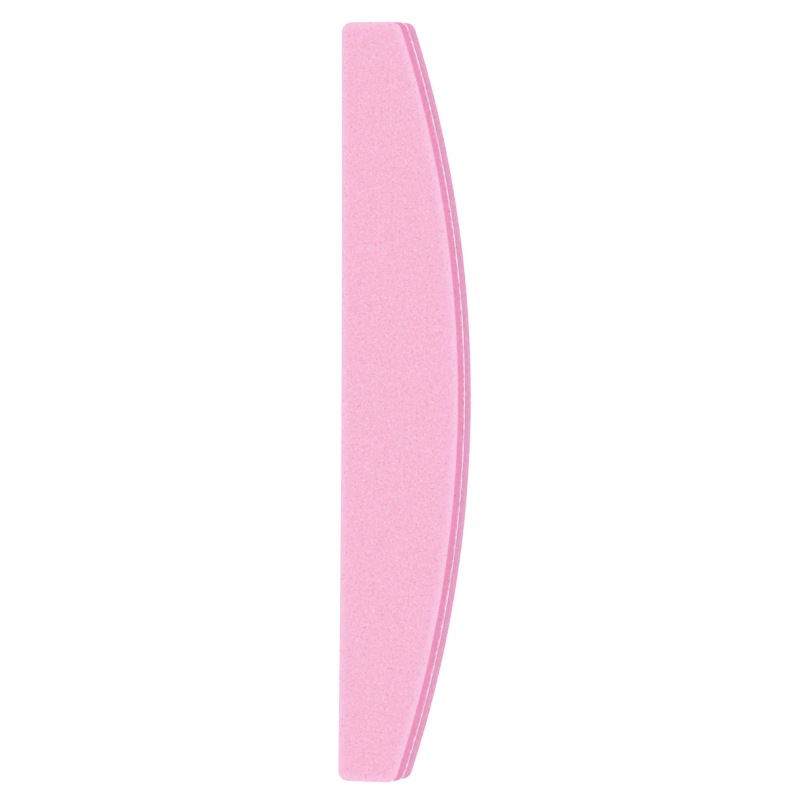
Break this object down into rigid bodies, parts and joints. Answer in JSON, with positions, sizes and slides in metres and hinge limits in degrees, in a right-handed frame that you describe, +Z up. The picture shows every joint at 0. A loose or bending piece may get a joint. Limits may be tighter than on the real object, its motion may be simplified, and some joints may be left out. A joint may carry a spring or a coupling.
{
  "type": "nail buffer block",
  "caption": "Half-moon sponge nail buffer: two foam pads with abrasive faces, glued to a stiff white board.",
  "frame": {"origin": "middle of the outline's bounding box, on the back abrasive face that the buffer lies on", "axes": "+X along the length, +Y towards the straight long edge, -Y towards the curved long edge, +Z up through the layers, from the back face to the front face"},
  "size_m": [0.178, 0.029, 0.012],
  "materials": {
    "core_board": "smooth die-cut white polystyrene sheet",
    "tape": "thin tacky acrylic tape, seen only as a dark line",
    "front_foam": "matte closed-cell foam with a cut, fine-pored edge",
    "back_foam": "matte closed-cell foam with a cut, fine-pored edge",
    "face_glue": "thin clear-pink glue film",
    "backing": "latex-soaked abrasive paper with a pale cut edge",
    "grit": "fine pink abrasive grains in resin, matte with fine speckle"
  },
  "bodies": {
    "root": {"core_board": "core_board", "front_core_tape": "tape", "back_core_tape": "tape", "front_foam_pad": "front_foam", "back_foam_pad": "back_foam", "front_face_glue": "face_glue", "back_face_glue": "face_glue", "front_abrasive_backing": "backing", "back_abrasive_backing": "backing", "front_grit_coat": "grit", "back_grit_coat": "grit"}
  },
  "joints": []
}
